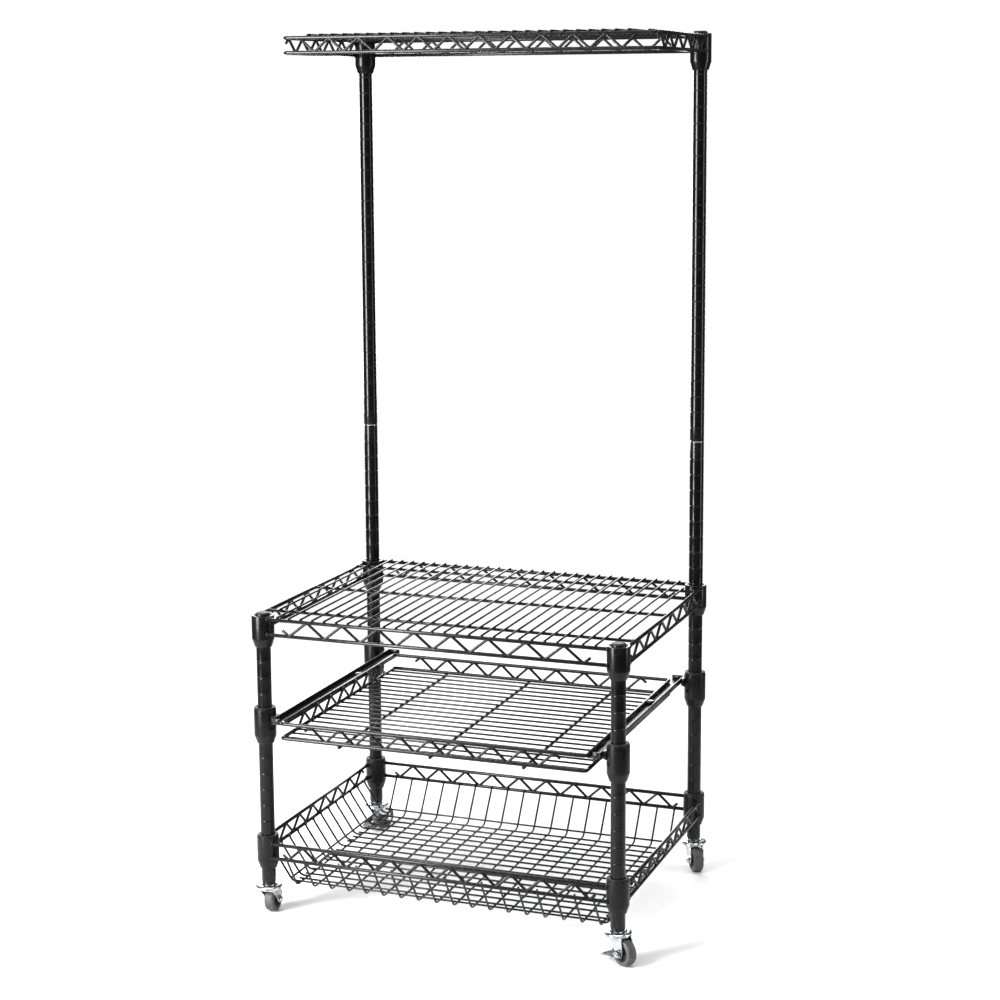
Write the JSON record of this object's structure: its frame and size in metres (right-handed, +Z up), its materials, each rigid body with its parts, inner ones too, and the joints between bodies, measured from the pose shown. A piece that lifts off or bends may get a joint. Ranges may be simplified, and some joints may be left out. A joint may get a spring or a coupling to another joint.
{
  "type": "rolling clothes rack",
  "caption": "Rolling clothes rack of black steel: grooved posts, wire hanging shelf on top, wire table, sliding wire tray, wire basket and swivel casters.",
  "frame": {"origin": "on the floor, midway between the four posts", "axes": "+Z up, +X to the rack's right when seen from the front, the front and the tray's pull-out direction along -Y"},
  "size_m": [0.6256, 0.4828, 1.3634],
  "materials": {
    "post_black": "gloss black epoxy coat on grooved steel tube",
    "wire_black": "gloss black epoxy coat on welded wire",
    "collar_black": "gloss black coat",
    "rail_black": "gloss black coat on folded steel",
    "plastic_black": "black nylon",
    "zinc": "bright zinc plate",
    "tyre_grey": "grey rubber tread",
    "hub_plastic": "black moulded hub",
    "pedal_black": "black coat on pressed steel"
  },
  "bodies": {
    "rack": {"basket_collars": "collar_black", "basket_floor": "wire_black", "basket_front_truss": "wire_black", "basket_front_wall": "wire_black", "basket_left_truss": "wire_black", "basket_left_wall": "wire_black", "basket_rear_truss": "wire_black", "basket_rear_wall": "wire_black", "basket_right_truss": "wire_black", "basket_right_wall": "wire_black", "caster_stems": "zinc", "post_caps": "plastic_black", "post_front_left": "post_black", "post_front_right": "post_black", "post_joint_studs": "zinc", "post_rear_left_lower": "post_black", "post_rear_left_upper": "post_black", "post_rear_right_lower": "post_black", "post_rear_right_upper": "post_black", "post_sleeves": "plastic_black", "slide_rail_collars": "collar_black", "slide_rail_left": "rail_black", "slide_rail_right": "rail_black", "slide_rail_screws": "zinc", "stem_inserts": "zinc", "table_collars": "collar_black", "table_front_truss": "wire_black", "table_left_truss": "wire_black", "table_mat": "wire_black", "table_rear_truss": "wire_black", "table_right_truss": "wire_black", "top_front_truss": "wire_black", "top_left_truss": "wire_black", "top_mat": "wire_black", "top_rear_truss": "wire_black", "top_right_truss": "wire_black", "top_shelf_collars": "collar_black"},
    "tray": {"tray_front_truss": "wire_black", "tray_left_truss": "wire_black", "tray_mat": "wire_black", "tray_rear_truss": "wire_black", "tray_right_truss": "wire_black"},
    "swivel_front_left": {"caster_fork_front_left": "zinc", "caster_axle_front_left": "zinc"},
    "wheel_front_left": {"caster_tyre_front_left": "tyre_grey", "caster_hub_front_left": "hub_plastic"},
    "swivel_front_right": {"caster_fork_front_right": "zinc", "caster_axle_front_right": "zinc"},
    "wheel_front_right": {"caster_tyre_front_right": "tyre_grey", "caster_hub_front_right": "hub_plastic"},
    "brake_front_right": {"brake_pedal_front_right": "pedal_black"},
    "swivel_rear_left": {"caster_fork_rear_left": "zinc", "caster_axle_rear_left": "zinc"},
    "wheel_rear_left": {"caster_tyre_rear_left": "tyre_grey", "caster_hub_rear_left": "hub_plastic"},
    "brake_rear_left": {"brake_pedal_rear_left": "pedal_black"},
    "swivel_rear_right": {"caster_fork_rear_right": "zinc", "caster_axle_rear_right": "zinc"},
    "wheel_rear_right": {"caster_tyre_rear_right": "tyre_grey", "caster_hub_rear_right": "hub_plastic"}
  },
  "joints": [
    {"name": "tray_slide", "type": "slide", "parent": "rack", "child": "tray", "axis": [0, -1, 0], "range_m": [-0.016, 0.288]},
    {"name": "swivel_front_left_turn", "type": "hinge", "parent": "rack", "child": "swivel_front_left", "pos_m": [-0.28575, -0.20955, 0.043], "axis": [0, 0, 1], "continuous": true},
    {"name": "wheel_front_left_spin", "type": "hinge", "parent": "swivel_front_left", "child": "wheel_front_left", "pos_m": [-0.28653, -0.19457, 0.02], "axis": [-0.9986, -0.0523, 0], "continuous": true},
    {"name": "swivel_front_right_turn", "type": "hinge", "parent": "rack", "child": "swivel_front_right", "pos_m": [0.28575, -0.20955, 0.043], "axis": [0, 0, 1], "continuous": true},
    {"name": "wheel_front_right_spin", "type": "hinge", "parent": "swivel_front_right", "child": "wheel_front_right", "pos_m": [0.29847, -0.2175, 0.02], "axis": [0.5299, 0.848, 0], "continuous": true},
    {"name": "brake_front_right_press", "type": "hinge", "parent": "swivel_front_right", "child": "brake_front_right", "pos_m": [0.29847, -0.2175, 0.02], "axis": [0.5299, 0.848, 0], "range_deg": [0, 26]},
    {"name": "swivel_rear_left_turn", "type": "hinge", "parent": "rack", "child": "swivel_rear_left", "pos_m": [-0.28575, 0.20955, 0.043], "axis": [0, 0, 1], "continuous": true},
    {"name": "wheel_rear_left_spin", "type": "hinge", "parent": "swivel_rear_left", "child": "wheel_rear_left", "pos_m": [-0.27965, 0.22325, 0.02], "axis": [-0.9135, 0.4067, 0], "continuous": true},
    {"name": "brake_rear_left_press", "type": "hinge", "parent": "swivel_rear_left", "child": "brake_rear_left", "pos_m": [-0.27965, 0.22325, 0.02], "axis": [-0.9135, 0.4067, 0], "range_deg": [0, 26]},
    {"name": "swivel_rear_right_turn", "type": "hinge", "parent": "rack", "child": "swivel_rear_right", "pos_m": [0.28575, 0.20955, 0.043], "axis": [0, 0, 1], "continuous": true},
    {"name": "wheel_rear_right_spin", "type": "hinge", "parent": "swivel_rear_right", "child": "wheel_rear_right", "pos_m": [0.2937, 0.19683, 0.02], "axis": [0.848, 0.5299, 0], "continuous": true}
  ]
}
